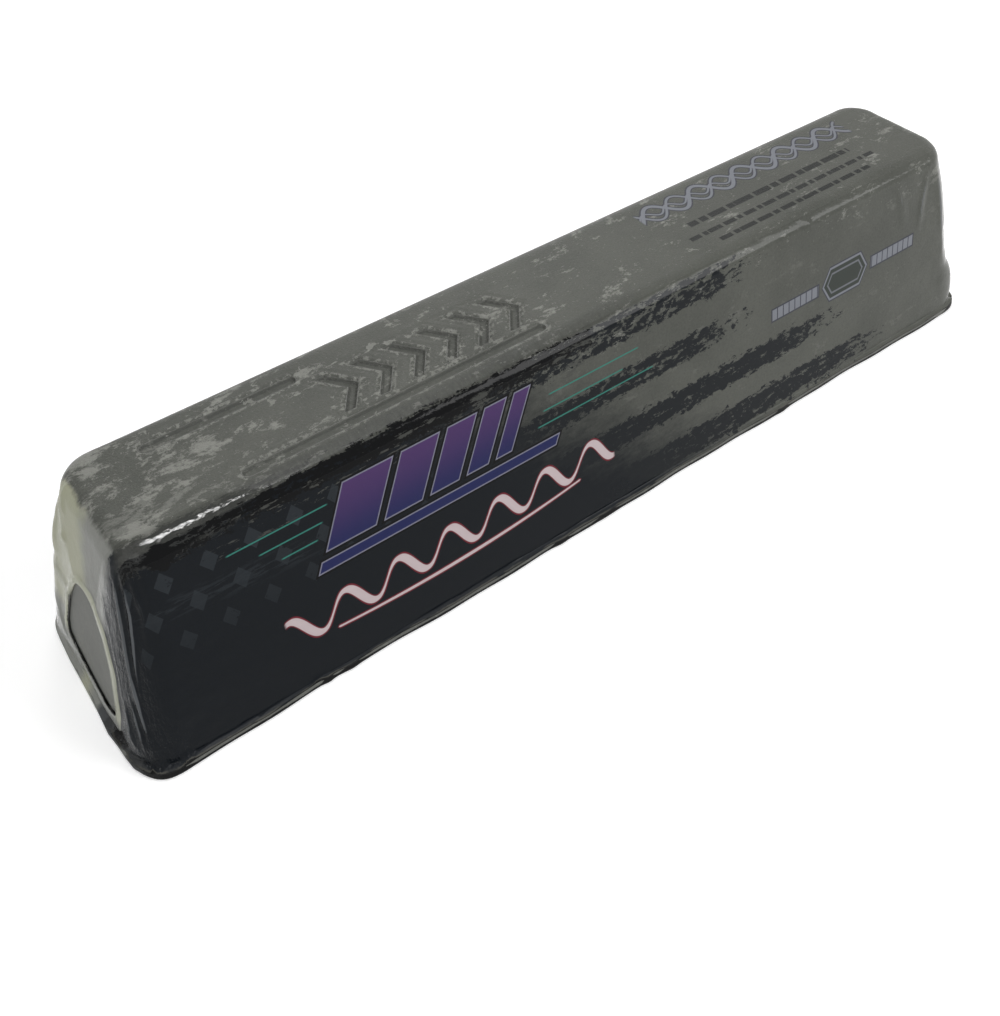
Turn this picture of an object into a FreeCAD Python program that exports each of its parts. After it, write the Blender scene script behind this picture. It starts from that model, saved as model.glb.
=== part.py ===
import FreeCAD, Part
import math
import os

from FreeCAD import Vector

# Buffing compound bar in its shrink wrap
#
# The bar is cast in a long open mould and lies here as it is stored: on the
# wide face that was open when it was poured, with the narrow face, which lay
# on the mould's floor, on top. Millimetres. X runs along the bar, Y across it
# and Z up. The origin is at the middle of the underside of the wrap.

# The cast block, measured on the bare compound
BASE_LENGTH = 258.2
BASE_WIDTH = 55.2
BAR_HEIGHT = 49.7
END_DRAFT_DEG = 14.2
SIDE_DRAFT_DEG = 13.0
CORNER_RADIUS = 8.5
TOP_EDGE_RADIUS = 4.6

# The uneven lip that the pour left round the wide face
LIP_HEIGHT = 1.7
LIP_STAND_OUT = 0.76
LIP_EDGE_BREAK = 0.25
LIP_STATIONS = 120
# Each ripple: how many times it repeats round the lip, its size and its phase
LIP_RIPPLES = (
    (5, 0.15, 3.9), (6, 0.18, 1.5), (7, 0.14, 5.1), (12, 0.13, 4.1), (29, 0.12, 1.1),
)

# The sink in the poured face, where the compound shrank as it set
SINK_DEPTH = 1.2
SINK_MARGIN = 8.0
SINK_SLOPE = 11.0

# The relief that the mould's floor left in the narrow face. Places along the
# bar are counted from that face's near end, and insets from its long edges
RELIEF_DEPTH = 0.8
RELIEF_WALL_SPREAD = 0.35
GROOVE_WIDTH = 2.4
BACK_GROOVE_SET_IN = 15.5
BACK_GROOVE_LENGTH = 35.0
BACK_GROOVE_INSET = 7.5
FRONT_GROOVE_SET_IN = 28.5
FRONT_GROOVE_LENGTH = 74.0
FRONT_GROOVE_INSET = 6.5
CHEVRON_COUNT = 6
CHEVRON_SET_IN = 54.5
CHEVRON_PITCH = 8.4
CHEVRON_LEAN = 4.6
CHEVRON_STROKE = 2.6
CHEVRON_CLEARANCE = 2.9

# The film, shrunk close to the bar
FILM_THICKNESS = 0.08
FILM_CLEARANCE = 0.12

# The window that the film leaves open on each end face, with its thick edge.
# It has an arched top, and its lower corner towards the back is the rounder one
WINDOW_WIDTH = 24.0
WINDOW_HEIGHT = 24.0
WINDOW_SILL = 6.0
WINDOW_FRONT_RADIUS = 1.6
WINDOW_BACK_RADIUS = 5.0
WINDOW_RIM_WIDTH = 1.5
WINDOW_RIM_RISE = 0.45

# What follows from those
BAR_FLOOR = FILM_THICKNESS
BAR_TOP = BAR_FLOOR + BAR_HEIGHT
TOP_LENGTH = BASE_LENGTH - 2 * BAR_HEIGHT * math.tan(math.radians(END_DRAFT_DEG))
TOP_WIDTH = BASE_WIDTH - 2 * BAR_HEIGHT * math.tan(math.radians(SIDE_DRAFT_DEG))
NEAR_END = -TOP_LENGTH / 2
BACK_GROOVE_Y = TOP_WIDTH / 2 - BACK_GROOVE_INSET
FRONT_GROOVE_Y = FRONT_GROOVE_INSET - TOP_WIDTH / 2


def rounded_rectangle(length, width, radius, z):
    """A closed wire of four sides and four corner arcs about the Z axis."""
    half_x = length / 2 - radius
    half_y = width / 2 - radius
    edges = []
    for quarter in range(4):
        centre = Vector(
            half_x if quarter in (0, 3) else -half_x,
            half_y if quarter in (0, 1) else -half_y,
            z,
        )
        next_centre = Vector(
            half_x if quarter in (3, 2) else -half_x,
            half_y if quarter in (3, 0) else -half_y,
            z,
        )
        start = math.radians(90 * quarter)
        middle = start + math.pi / 4
        end = start + math.pi / 2
        arc = [
            centre + Vector(math.cos(a), math.sin(a), 0) * radius
            for a in (start, middle, end)
        ]
        side_end = next_centre + Vector(math.cos(end), math.sin(end), 0) * radius
        edges.append(Part.Arc(*arc).toShape())
        edges.append(Part.LineSegment(arc[2], side_end).toShape())
    return Part.Wire(edges)


def drafted_block(grow, floor, top):
    """The mould's form, grown outwards on its sides, with its corners rounded."""
    base_x, base_y = BASE_LENGTH / 2 + grow, BASE_WIDTH / 2 + grow
    top_x, top_y = TOP_LENGTH / 2 + grow, TOP_WIDTH / 2 + grow
    block = Part.makeWedge(
        -base_x, floor, -base_y, -top_y, -top_x, base_x, top, base_y, top_y, top_x
    )
    block.rotate(Vector(0, 0, 0), Vector(1, 0, 0), 90)
    corners = [e for e in block.Edges if abs(e.Vertexes[0].Z - e.Vertexes[1].Z) > 1e-6]
    block = block.makeFillet(CORNER_RADIUS + grow, corners)
    rim = [e for e in block.Edges if all(abs(v.Z - top) < 1e-6 for v in e.Vertexes)]
    return block.makeFillet(TOP_EDGE_RADIUS + grow, rim)


def lip_outline(grow, z):
    """The lip's wavy outline: the block's foot, pushed out by the ripples."""
    path = rounded_rectangle(BASE_LENGTH, BASE_WIDTH, CORNER_RADIUS, z)
    points = []
    for station, point in enumerate(path.discretize(LIP_STATIONS + 1)[:-1]):
        turn = 2 * math.pi * station / LIP_STATIONS
        out = LIP_STAND_OUT + grow
        out += sum(size * math.sin(count * turn + phase) for count, size, phase in LIP_RIPPLES)
        corner_x = BASE_LENGTH / 2 - CORNER_RADIUS
        corner_y = BASE_WIDTH / 2 - CORNER_RADIUS
        nearest = Vector(
            max(-corner_x, min(corner_x, point.x)), max(-corner_y, min(corner_y, point.y)), z
        )
        away = point - nearest
        away.normalize()
        points.append(point + away * out)
    curve = Part.BSplineCurve()
    curve.interpolate(Points=points, PeriodicFlag=True)
    return Part.Wire([curve.toShape()])


def pour_lip(grow, floor, top):
    """The lip as a ring-shaped slab, with its upper and lower edges broken."""
    sections = (
        (grow - LIP_EDGE_BREAK, floor),
        (grow, floor + LIP_EDGE_BREAK),
        (grow, top - LIP_EDGE_BREAK),
        (grow - LIP_EDGE_BREAK, top),
    )
    return Part.makeLoft([lip_outline(g, z) for g, z in sections], True, True)


def shrinkage_sink():
    """The shallow hollow in the poured face, deepest along its middle."""
    length = BASE_LENGTH - 2 * SINK_MARGIN
    width = BASE_WIDTH - 2 * SINK_MARGIN
    floor_width = width - 2 * SINK_SLOPE
    mouth = rounded_rectangle(length, width, width / 3, BAR_FLOOR)
    floor = rounded_rectangle(
        length - 2 * SINK_SLOPE, floor_width, floor_width / 3, BAR_FLOOR + SINK_DEPTH
    )
    return Part.makeLoft([mouth, floor], True, True)


def groove_wire(set_in, length, y, grow, z):
    """A round-ended slot's outline, grown all round."""
    radius = GROOVE_WIDTH / 2 + grow
    start = NEAR_END + set_in - grow
    end = NEAR_END + set_in + length + grow
    left, right = start + radius, end - radius
    edges = [
        Part.LineSegment(Vector(left, y - radius, z), Vector(right, y - radius, z)),
        Part.Arc(
            Vector(right, y - radius, z), Vector(end, y, z), Vector(right, y + radius, z)
        ),
        Part.LineSegment(Vector(right, y + radius, z), Vector(left, y + radius, z)),
        Part.Arc(Vector(left, y + radius, z), Vector(start, y, z), Vector(left, y - radius, z)),
    ]
    return Part.Wire([edge.toShape() for edge in edges])


def chevron_wire(x, grow, z):
    """An arrow-shaped stroke that points along the bar, between the two grooves."""
    half = CHEVRON_STROKE / 2 + grow
    middle = (BACK_GROOVE_Y + FRONT_GROOVE_Y) / 2
    span = (BACK_GROOVE_Y - FRONT_GROOVE_Y) / 2 - CHEVRON_CLEARANCE + grow
    outline = (
        (x - half, middle - span),
        (x + half, middle - span),
        (x + CHEVRON_LEAN + half, middle),
        (x + half, middle + span),
        (x - half, middle + span),
        (x + CHEVRON_LEAN - half, middle),
    )
    return Part.makePolygon([Vector(px, py, z) for px, py in (*outline, outline[0])])


def sunk(outline, *place):
    """A recess with spreading walls, from above the top face down to its floor."""
    lower = outline(*place, -RELIEF_WALL_SPREAD, BAR_TOP - RELIEF_DEPTH)
    upper = outline(*place, RELIEF_WALL_SPREAD, BAR_TOP + RELIEF_DEPTH)
    return Part.makeLoft([lower, upper], True, True)


def cast_relief():
    """Two long grooves, and a row of chevrons between them."""
    recesses = [
        sunk(groove_wire, BACK_GROOVE_SET_IN, BACK_GROOVE_LENGTH, BACK_GROOVE_Y),
        sunk(groove_wire, FRONT_GROOVE_SET_IN, FRONT_GROOVE_LENGTH, FRONT_GROOVE_Y),
    ]
    first = NEAR_END + CHEVRON_SET_IN
    for step in range(CHEVRON_COUNT):
        recesses.append(sunk(chevron_wire, first + step * CHEVRON_PITCH))
    return recesses


def make_compound_bar():
    """The cast bar: block, lip, sink and relief in one solid."""
    block = drafted_block(0.0, BAR_FLOOR, BAR_TOP)
    lip = pour_lip(0.0, BAR_FLOOR, BAR_FLOOR + LIP_HEIGHT)
    return block.fuse(lip).cut([shrinkage_sink(), *cast_relief()])


def wrap_form(grow, floor):
    """The bar's outer form, without its relief, grown by one step of the film."""
    block = drafted_block(grow, floor, BAR_TOP + grow)
    lip = pour_lip(grow, floor, BAR_FLOOR + LIP_HEIGHT + grow)
    return block.fuse(lip)


def window_prism(grow, side):
    """The window's prism through one end wall; side is -1 or 1 along X."""
    inside = side * (TOP_LENGTH / 2 - CORNER_RADIUS)
    outside = side * (BASE_LENGTH / 2 + CORNER_RADIUS)
    half = WINDOW_WIDTH / 2 + grow
    sill = WINDOW_SILL - grow
    spring = WINDOW_SILL + WINDOW_HEIGHT - WINDOW_WIDTH / 2
    front = WINDOW_FRONT_RADIUS + grow
    back = WINDOW_BACK_RADIUS + grow

    def at(y, z):
        return Vector(inside, y, z)

    def lower_corner(hand, radius):
        """From the side down to the sill; hand is -1 at the front, 1 at the back."""
        bend = radius * (1 - math.sqrt(0.5))
        return Part.Arc(
            at(hand * half, sill + radius),
            at(hand * (half - bend), sill + bend),
            at(hand * (half - radius), sill),
        )

    edges = [
        Part.Arc(at(half, spring), at(0, spring + half), at(-half, spring)),
        Part.LineSegment(at(-half, spring), at(-half, sill + front)),
        lower_corner(-1, front),
        Part.LineSegment(at(front - half, sill), at(half - back, sill)),
        lower_corner(1, back),
        Part.LineSegment(at(half, sill + back), at(half, spring)),
    ]
    outline = Part.Wire([edge.toShape() for edge in edges])
    return Part.Face(outline).extrude(Vector(outside - inside, 0, 0))


def make_shrink_sleeve():
    """The film: a thin wall all round the bar, open at a thick-edged window in each end."""
    inner = wrap_form(FILM_CLEARANCE, BAR_FLOOR)
    outer = wrap_form(FILM_CLEARANCE + FILM_THICKNESS, 0.0)
    rim_grow = FILM_CLEARANCE + FILM_THICKNESS + WINDOW_RIM_RISE
    rim_stock = drafted_block(rim_grow, 0.0, BAR_TOP + rim_grow)
    rims = [rim_stock.common(window_prism(WINDOW_RIM_WIDTH, side)) for side in (-1, 1)]
    skin = outer.fuse(rims)
    return skin.cut([inner, *(window_prism(0.0, side) for side in (-1, 1))])


def main():
    os.makedirs("parts", exist_ok=True)
    pieces = {"compound_bar": make_compound_bar(), "shrink_sleeve": make_shrink_sleeve()}
    for name, shape in pieces.items():
        solid = shape.Solids[0]
        print(name, "solids", len(shape.Solids), "valid", shape.isValid(), end=" ")
        print("volume", round(solid.Volume), "faces", len(solid.Faces), solid.BoundBox)
        solid.exportStep("parts/" + name + ".step")


main()
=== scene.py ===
# %% [markdown]
# A bar of grey cutting compound in its shrink wrap.
#
# The real thing is a cast block of grit bound in grease and wax. It lies on the wide face that
# was open when it was poured, and a printed tube of thin film is shrunk over it. The film is the
# piece that most of this file makes: it hugs the block, puckers where it turns round the ends,
# and stops at a thick rolled edge that leaves a window open in each end.
#
# The CAD model is loaded first and stays where it is. Everything made here is in metres, in the
# CAD model's own frame: X along the bar, Y across it towards the back and Z up.

import math

import bpy
import numpy as np
from mathutils import Matrix, Vector


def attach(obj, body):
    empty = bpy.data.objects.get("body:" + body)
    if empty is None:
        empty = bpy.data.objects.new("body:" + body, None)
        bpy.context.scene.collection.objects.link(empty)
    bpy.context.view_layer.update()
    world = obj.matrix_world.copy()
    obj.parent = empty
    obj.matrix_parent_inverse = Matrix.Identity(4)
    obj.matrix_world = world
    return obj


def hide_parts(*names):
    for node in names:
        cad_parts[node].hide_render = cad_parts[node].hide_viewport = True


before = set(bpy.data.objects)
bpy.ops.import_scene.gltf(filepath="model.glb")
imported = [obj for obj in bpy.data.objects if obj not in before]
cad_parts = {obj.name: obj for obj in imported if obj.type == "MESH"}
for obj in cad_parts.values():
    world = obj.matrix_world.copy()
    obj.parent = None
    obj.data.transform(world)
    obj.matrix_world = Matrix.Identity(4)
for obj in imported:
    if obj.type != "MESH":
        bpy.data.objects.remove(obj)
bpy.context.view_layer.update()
MM = 0.001

# %% [markdown]
# The camera stands near the bar's front left corner and looks down along it. Its place was found
# by matching the block's edges to the photograph, so it is given as three directions: what is to
# its right, what is above it, and what is behind it.

# %% Camera
LENS = 38.42
CAMERA_PLACE = Vector((-133.878, -155.518, 198.215)) * MM
CAMERA_RIGHT = Vector((0.7979747, -0.60252624, -0.01408954))
CAMERA_UP = Vector((0.45354398, 0.5849415, 0.67241453))
CAMERA_BACK = Vector((-0.39690584, -0.54296001, 0.74004066))

camera = bpy.data.objects.new("camera", bpy.data.cameras.new("camera"))
camera.data.lens = LENS
camera.data.clip_start = 0.01
turn = Matrix((CAMERA_RIGHT, CAMERA_UP, CAMERA_BACK)).transposed()
camera.matrix_world = Matrix.Translation(CAMERA_PLACE) @ turn.to_4x4()
bpy.context.scene.collection.objects.link(camera)
bpy.context.scene.camera = camera
print("camera height in mm", round(CAMERA_PLACE.z / MM, 1))

# %% [markdown]
# Film that is shrunk over a block takes the block's own form, a little larger. So the film starts
# from the same few sizes as the CAD block, in millimetres, and from a rule that says how far any
# point is from that form. Two flat faces that meet in a rounded edge have an exact rule: outside
# the rounded part the nearer face counts, and in it the distance to the edge's centre line does.

# %% The block's form
BASE_LENGTH = 258.2
BASE_WIDTH = 55.2
BAR_HEIGHT = 49.7
END_DRAFT = math.radians(14.2)
SIDE_DRAFT = math.radians(13.0)
CORNER_RADIUS = 8.5
TOP_EDGE_RADIUS = 4.6
FOOT_RADIUS = 0.5
BAR_FLOOR = 0.08
BAR_TOP = BAR_FLOOR + BAR_HEIGHT
END_LEAN = math.sin(END_DRAFT)
SIDE_LEAN = math.sin(SIDE_DRAFT)


def round_edge(first, second, first_lean, second_lean, cosine, radius):
    """Distance to two faces that meet in a rounded edge, and how far its normal leans up."""
    p, q = first + radius, second + radius
    square = 1 - cosine**2
    square = np.maximum(square, 1e-6)
    across = np.sqrt(np.maximum(p * p + q * q - 2 * p * q * cosine, 1e-9) / square)
    in_round = (p > q * cosine) & (q > p * cosine)
    lean = ((p - q * cosine) * first_lean + (q - p * cosine) * second_lean) / square / across
    flat_lean = np.where(first > second, first_lean, second_lean)
    distance = np.where(in_round, across - radius, np.maximum(first, second))
    return distance, np.where(in_round, lean, flat_lean)


def wall_distance(points, grow):
    """Distance to the four drafted walls and their rounded corners."""
    rise = points[..., 2] - BAR_FLOOR
    end = (abs(points[..., 0]) - BASE_LENGTH / 2) * math.cos(END_DRAFT) + rise * END_LEAN
    side = (abs(points[..., 1]) - BASE_WIDTH / 2) * math.cos(SIDE_DRAFT) + rise * SIDE_LEAN
    cosine = END_LEAN * SIDE_LEAN
    return round_edge(end - grow, side - grow, END_LEAN, SIDE_LEAN, cosine, CORNER_RADIUS + grow)


def form_distance(points, grow, under):
    """Distance to the whole block: walls, top face and an underside at the height under."""
    walls, lean = wall_distance(points, grow)
    top = points[..., 2] - BAR_TOP - grow
    body, lean = round_edge(walls, top, lean, 1.0, lean, TOP_EDGE_RADIUS + grow)
    return round_edge(body, under - points[..., 2], lean, -1.0, -lean, FOOT_RADIUS)[0]


def form_normal(points, grow, under):
    """The direction straight away from the form, by measuring it a little to each side."""
    step = 1e-3
    parts = []
    for axis in np.eye(3) * step:
        ahead = form_distance(points + axis, grow, under)
        parts.append(ahead - form_distance(points - axis, grow, under))
    normal = np.stack(parts, axis=-1)
    return normal / np.linalg.norm(normal, axis=-1, keepdims=True)


def settle(points, grow, under):
    """Moves points straight onto the form, as film pulls tight onto a block."""
    for _ in range(8):
        gap = form_distance(points, grow, under)
        points = points - form_normal(points, grow, under) * gap[..., None]
    return points


# %% [markdown]
# Round the foot runs the poured lip, where the compound rose a little over the mould's edge. The
# ripples are sums of a few waves counted round the outline, as in the CAD source, so that the
# film stays just outside the bar. A few larger lumps are added where the film shows them.

# %% The poured lip
LIP_HEIGHT = 1.7
LIP_FADE = 0.35
LIP_STAND_OUT = 0.76
LIP_RIPPLES = (
    (5, 0.15, 3.9), (6, 0.18, 1.5), (7, 0.14, 5.1), (12, 0.13, 4.1), (29, 0.12, 1.1),
)
# Each lump: its place as a turn round the outline, its half length there and its size
LIP_LUMPS = (
    (3.05, 0.035, 0.35), (3.23, 0.03, 0.6), (3.62, 0.012, 0.3), (3.68, 0.02, 0.25),
    (4.28, 0.02, 0.3), (4.43, 0.04, 0.2), (5.06, 0.02, 0.3), (5.81, 0.03, 0.3),
)
CREASE_SIZE = 0.16


def outline_turn(points):
    """How far round the foot's outline each point lies, as an angle from the back right corner."""
    half_x = BASE_LENGTH / 2 - CORNER_RADIUS
    half_y = BASE_WIDTH / 2 - CORNER_RADIUS
    x, y = points[..., 0], points[..., 1]
    arc = CORNER_RADIUS * math.pi / 2
    near_x, near_y = np.clip(x, -half_x, half_x), np.clip(y, -half_y, half_y)
    angle = np.arctan2(y - near_y, x - near_x) % (2 * math.pi)
    quarter = np.minimum((angle / (math.pi / 2) + 1e-9).astype(int), 3)
    sides = np.array((0.0, 2 * half_x, 2 * half_x + 2 * half_y, 4 * half_x + 2 * half_y))
    path = sides[quarter] + angle * CORNER_RADIUS
    on_back = (abs(x) < half_x) & (y > 0)
    on_left = (abs(y) < half_y) & (x < -half_x)
    on_front = (abs(x) < half_x) & (y < 0)
    on_right = (abs(y) < half_y) & (x > half_x)
    path = np.where(on_back, arc + half_x - x, path)
    path = np.where(on_left, 2 * arc + 2 * half_x + half_y - y, path)
    path = np.where(on_front, 3 * arc + 2 * half_x + 2 * half_y + half_x + x, path)
    path = np.where(on_right, 4 * arc + 4 * half_x + 2 * half_y + half_y + y, path)
    return path / (4 * arc + 4 * half_x + 4 * half_y) * 2 * math.pi


def smooth_step(value, low, high):
    """0 below low and 1 above high, with a soft rise between them."""
    share = np.clip((value - low) / (high - low), 0.0, 1.0)
    return share * share * (3 - 2 * share)


def crease_height(turn):
    """How high the film's crease runs over the lip."""
    wander = 0.08 * np.sin(23 * turn + 1.0) + 0.05 * np.sin(61 * turn) + 0.03 * np.sin(97 * turn + 2.0)
    jogs = 0.6 * np.exp(-(((turn - 3.285) / 0.012) ** 2)) + 0.5 * np.exp(-(((turn - 3.6) / 0.015) ** 2))
    return LIP_HEIGHT + 0.2 + wander + jogs


def push_lip(points, grow):
    """Pushes the foot of the film out over the lip, with a thin crease along its shoulder."""
    turn = outline_turn(points)
    out = np.full(turn.shape, LIP_STAND_OUT)
    for count, size, phase in LIP_RIPPLES:
        out = out + size * np.sin(count * turn + phase)
    for place, spread, size in LIP_LUMPS:
        out = out + size * np.exp(-(((turn - place) / spread) ** 2))
    ridge = crease_height(turn)
    low = 1 - smooth_step(points[..., 2], ridge, ridge + LIP_FADE)
    crease = CREASE_SIZE * np.exp(-(((points[..., 2] - ridge) / 0.2) ** 2))
    near_edge = smooth_step(wall_distance(points, grow)[0], -6.0, -1.0)
    away = form_normal(points + np.array((0.0, 0.0, 4.0)), grow, -100.0)
    away[..., 2] = 0.0
    away = away / np.maximum(np.linalg.norm(away, axis=-1, keepdims=True), 1e-6)
    return points + away * ((out * low + crease) * near_edge)[..., None]


# %% [markdown]
# The film is laid out as a net of rows and columns. The columns run along the bar: each keeps one
# place on the way round it. The rows start at the edge of one window, spread over the end face,
# turn round the corner, run the bar's length and close in on the other window. They stand closer
# where there is more to show: at the ends, over the cast relief and on the rounded edges.

# %% Columns round the bar
FILM_OUT = 0.2
TOP_LENGTH = BASE_LENGTH - 2 * BAR_HEIGHT * math.tan(END_DRAFT)
TOP_WIDTH = BASE_WIDTH - 2 * BAR_HEIGHT * math.tan(SIDE_DRAFT)
ROUND_REACH = 3.9


def half_length(z):
    """Half the sharp block's length at a height."""
    return FILM_OUT + BASE_LENGTH / 2 - (z - BAR_FLOOR) * math.tan(END_DRAFT)


def half_width(z):
    """Half the sharp block's width at a height."""
    return FILM_OUT + BASE_WIDTH / 2 - (z - BAR_FLOOR) * math.tan(SIDE_DRAFT)


film_top = BAR_TOP + FILM_OUT
edge_start = film_top - ROUND_REACH * math.cos(SIDE_DRAFT)
top_flat = half_width(film_top) - ROUND_REACH
front_heights = np.concatenate([
    np.linspace(0.0, 1.0, 4)[:-1],
    np.linspace(1.0, 2.6, 13)[:-1],
    np.linspace(2.6, edge_start, 61)[:-1],
    np.linspace(edge_start, film_top, 6)[:-1],
])
top_places = np.concatenate([
    np.linspace(-half_width(film_top), -top_flat, 6)[:-1],
    np.linspace(-top_flat, top_flat, 51)[:-1],
    np.linspace(top_flat, half_width(film_top), 5)[:-1],
])
back_heights = np.concatenate([
    np.linspace(film_top, edge_start, 6)[:-1],
    np.linspace(edge_start, 3.0, 30)[:-1],
    np.linspace(3.0, 0.0, 11)[:-1],
])
under_places = np.linspace(1.0, -1.0, 14)[:-1]
under_places = np.sign(under_places) * abs(under_places) ** 0.6 * half_width(0.0)
columns_y = np.concatenate([-half_width(front_heights), top_places, half_width(back_heights), under_places])
columns_z = np.concatenate([
    front_heights,
    np.full(len(top_places), film_top),
    back_heights,
    np.zeros(len(under_places)),
])
COLUMNS = len(columns_y)
assert COLUMNS % 2 == 0, "the inner skin takes every second column"
steps = np.hypot(np.diff(columns_y, append=columns_y[0]), np.diff(columns_z, append=columns_z[0]))
columns_round = np.concatenate([[0.0], np.cumsum(steps)])
print("columns", COLUMNS, "way round in mm", round(columns_round[-1], 1))

# %% [markdown]
# Each window is drawn as a ring of points in the end face's own Y and Z, joined by a smooth
# closed curve. For each column the curve is asked for the point that lies in the column's
# direction from the window's middle. The near window's lower back edge was torn by heat, so
# small teeth are added there.

# %% Windows
WINDOW_CENTRE = (0.0, 16.0)
NEAR_WINDOW = (
    (0.8, 29.9), (5.2, 28.0), (8.6, 22.6), (10.8, 15.6), (11.6, 11.0), (9.6, 8.7),
    (3.6, 7.2), (-3.6, 6.0), (-9.6, 5.6), (-12.5, 6.8), (-12.2, 11.6), (-10.6, 18.0),
    (-8.2, 23.6), (-4.6, 27.8), (-2.4, 29.4),
)
FAR_WINDOW = (
    (0.0, 30.0), (6.0, 28.2), (10.4, 23.4), (11.8, 17.0), (12.2, 10.6), (9.0, 6.8),
    (2.0, 5.9), (-6.0, 6.1), (-11.0, 6.6), (-12.0, 12.0), (-11.8, 18.4), (-9.8, 24.2),
    (-5.4, 28.6),
)
TEETH_SIZE = 0.28


def smooth_ring(corners, steps=24):
    """A closed curve through the corners, each stretch bent by its neighbours."""
    corners = np.array(corners)
    share = np.linspace(0, 1, steps, endpoint=False)[:, None]
    before, start = np.roll(corners, 1, axis=0), corners
    end, after = np.roll(corners, -1, axis=0), np.roll(corners, -2, axis=0)
    stretches = []
    for a, b, c, d in zip(before, start, end, after):
        bend = (2 * a - 5 * b + 4 * c - d) * share**2 + (3 * b - a - 3 * c + d) * share**3
        stretches.append((2 * b + (c - a) * share + bend) / 2)
    return np.concatenate(stretches)


def window_edge(corners, teeth):
    """The window's edge seen from each column, as Y and Z."""
    ring = smooth_ring(corners) - WINDOW_CENTRE
    turn = np.arctan2(ring[:, 1], ring[:, 0])
    order = np.argsort(turn)
    aim = np.arctan2(columns_z - WINDOW_CENTRE[1], columns_y - WINDOW_CENTRE[0])
    reach = np.interp(aim, turn[order], np.hypot(ring[:, 0], ring[:, 1])[order], period=2 * math.pi)
    low_back = smooth_step(-aim, 0.15, 0.5) * (1 - smooth_step(-aim, 2.3, 2.7))
    reach = reach + teeth * low_back * np.sin(aim * 41) * np.sin(aim * 67 + 1.0)
    return np.stack([np.cos(aim), np.sin(aim)], axis=-1) * reach[:, None] + WINDOW_CENTRE


near_edge = window_edge(NEAR_WINDOW, TEETH_SIZE)
far_edge = window_edge(FAR_WINDOW, 0.0)
print("near window in mm", near_edge.min(axis=0).round(1), near_edge.max(axis=0).round(1))

# %% [markdown]
# The rows over an end face keep the same small distances from the window's edge in every column,
# so the rolled edge comes out even. From there on they are spread evenly to the block's corner.

# %% Rows along the bar
RIM_ROWS = (0.0, 0.12, 0.3, 0.55, 0.85, 1.2, 1.6, 2.0, 2.4, 2.8, 3.2)
NEAR_FACE_ROWS = 42
FAR_FACE_ROWS = 24
CLOSE_STRETCH = 20.0
RELIEF_STRETCH = 112.0


def end_face(edge, side, face_rows):
    """The rows over one end face, from the window's edge to the sharp corner of the block."""
    rim = np.stack([columns_y, columns_z], axis=-1)
    way = rim - edge
    length = np.linalg.norm(way, axis=-1)
    rows = []
    for distance in RIM_ROWS[:-1]:
        rows.append(edge + way * (distance / length)[:, None])
    start = RIM_ROWS[-1] / length
    for share in np.linspace(0, 1, face_rows, endpoint=False):
        rows.append(edge + way * (start + (1 - start) * share)[:, None])
    flat = np.array(rows)
    x = side * half_length(flat[..., 1])
    return np.concatenate([x[..., None], flat], axis=-1)


along = np.concatenate([
    np.linspace(0.0, CLOSE_STRETCH, 41)[:-1],
    np.linspace(CLOSE_STRETCH, RELIEF_STRETCH, 116)[:-1],
    np.linspace(RELIEF_STRETCH, BASE_LENGTH - CLOSE_STRETCH, 96)[:-1],
    np.linspace(BASE_LENGTH - CLOSE_STRETCH, BASE_LENGTH, 27),
]) / BASE_LENGTH
reach = half_length(columns_z)
long_rows = np.stack([
    (2 * along[:, None] - 1) * reach[None, :],
    np.repeat(columns_y[None, :], len(along), axis=0),
    np.repeat(columns_z[None, :], len(along), axis=0),
], axis=-1)
near_face = end_face(near_edge, -1, NEAR_FACE_ROWS)
far_face = end_face(far_edge, 1, FAR_FACE_ROWS)
sharp_net = np.concatenate([near_face, long_rows, far_face[::-1]])
if len(sharp_net) % 2 == 0:
    sharp_net = np.delete(sharp_net, len(sharp_net) // 2, axis=0)
ROWS = len(sharp_net)
print("rows", ROWS, "points", ROWS * COLUMNS)

# %% [markdown]
# Now the net is pulled onto the block. The outer skin lies a fifth of a millimetre off the bar.
# The inner skin lies closer and has only every second row and column, because nobody sees more
# of it than its edge at the windows.

# %% Pull the net tight
INNER_OUT = 0.07
INNER_DIP_REACH = 1.3
INNER_UNDER = 0.05
outer_net = settle(sharp_net, FILM_OUT, 0.0)
away_net = form_normal(outer_net, FILM_OUT, 0.0)
away_net[..., 2] = np.maximum(away_net[..., 2], 0.0)
outer_net = push_lip(outer_net, FILM_OUT)
sharp_inner = sharp_net[::2, ::2]
inner_net = push_lip(settle(sharp_inner, INNER_OUT, INNER_UNDER), INNER_OUT)
print("outer skin in mm", outer_net.reshape(-1, 3).min(axis=0).round(2), outer_net.reshape(-1, 3).max(axis=0).round(2))

# %% [markdown]
# The film carries its own coordinates for the print, because it was printed flat and then shrunk
# over the bar. U is how far along the sleeve a point lies and V is how far round, counted from
# the front foot, both in millimetres.

# %% Places on the sleeve
print_along = np.zeros((ROWS, COLUMNS))
row_gap = np.linalg.norm(np.diff(sharp_net, axis=0), axis=-1)
middle_row = ROWS // 2
print_along[middle_row] = sharp_net[middle_row, :, 0]
print_along[middle_row + 1:] = print_along[middle_row] + np.cumsum(row_gap[middle_row:], axis=0)
print_along[:middle_row] = (print_along[middle_row] - np.cumsum(row_gap[:middle_row][::-1], axis=0))[::-1]
print("print length in mm", round(print_along.min(), 1), round(print_along.max(), 1))

# %% [markdown]
# Folds and puckers are drawn like strokes: a few points on the film in X, Y and Z, a half width
# and a height. Every point of the net is measured against each stroke, and the stroke's section
# is a soft ridge that dies away at both ends. A flare is a much wider stroke, where the film
# stands off the back corner.

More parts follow.
